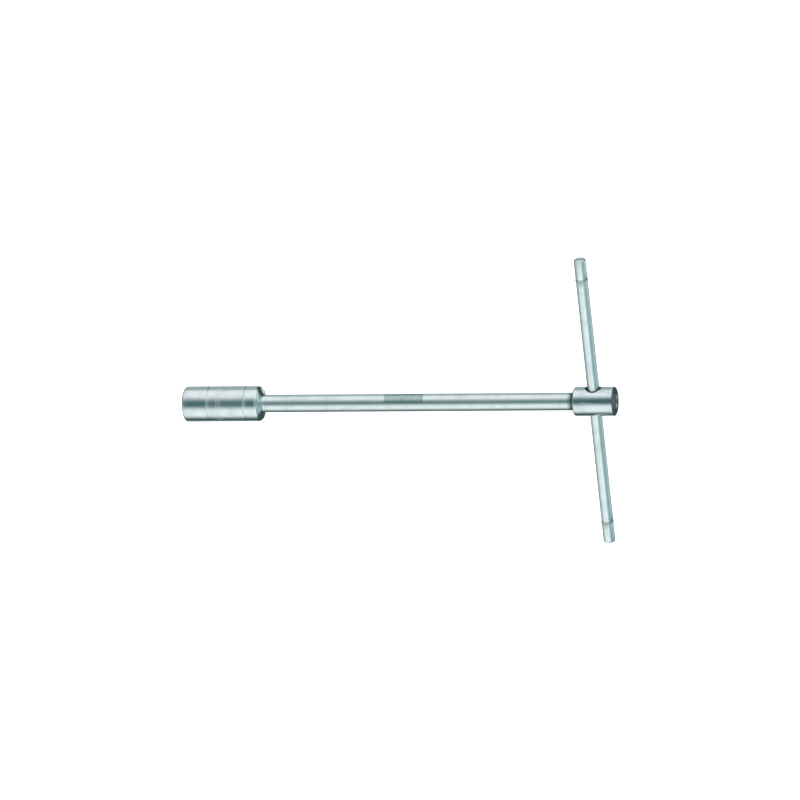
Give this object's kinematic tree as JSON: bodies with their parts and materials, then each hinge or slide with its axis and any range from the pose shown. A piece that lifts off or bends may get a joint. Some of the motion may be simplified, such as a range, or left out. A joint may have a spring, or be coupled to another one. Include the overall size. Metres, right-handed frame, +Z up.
{
  "type": "t-handle socket wrench",
  "caption": "T-handle socket wrench: hexagon socket on a round shaft, with a drilled head whose cross bar slides and turns.",
  "frame": {"origin": "on the resting plane, under the shaft's axis and midway between the socket's mouth and the head's end face", "axes": "+X along the shaft from the socket to the head, +Y along the cross bar, +Z up from the plane the tool lies on"},
  "size_m": [0.3, 0.203, 0.024],
  "materials": {
    "socket_steel": "satin chrome plate on turned steel",
    "shaft_steel": "polished chrome plate on drawn rod",
    "head_steel": "polished chrome plate on turned steel",
    "bar_steel": "polished chrome plate on drawn rod",
    "plug_steel": "chrome plate on a pressed disc",
    "ring_steel": "zinc-plated spring steel",
    "spring_steel": "drawn spring wire",
    "ball_steel": "ground and lapped bearing steel"
  },
  "bodies": {
    "wrench": {"socket": "socket_steel", "shaft": "shaft_steel", "head": "head_steel", "end_plug": "plug_steel", "detent_ball": "ball_steel", "detent_spring": "spring_steel"},
    "stop_rings": {"snap_ring_left": "ring_steel", "snap_ring_right": "ring_steel"},
    "bar": {"cross_bar": "bar_steel"}
  },
  "joints": [
    {"name": "bar_slide", "type": "slide", "parent": "wrench", "child": "stop_rings", "axis": [0, 1, 0], "range_m": [-0.078, 0.078]},
    {"name": "bar_spin", "type": "hinge", "parent": "stop_rings", "child": "bar", "pos_m": [0.1356, 0, 0.012], "axis": [0, 1, 0], "continuous": true}
  ]
}
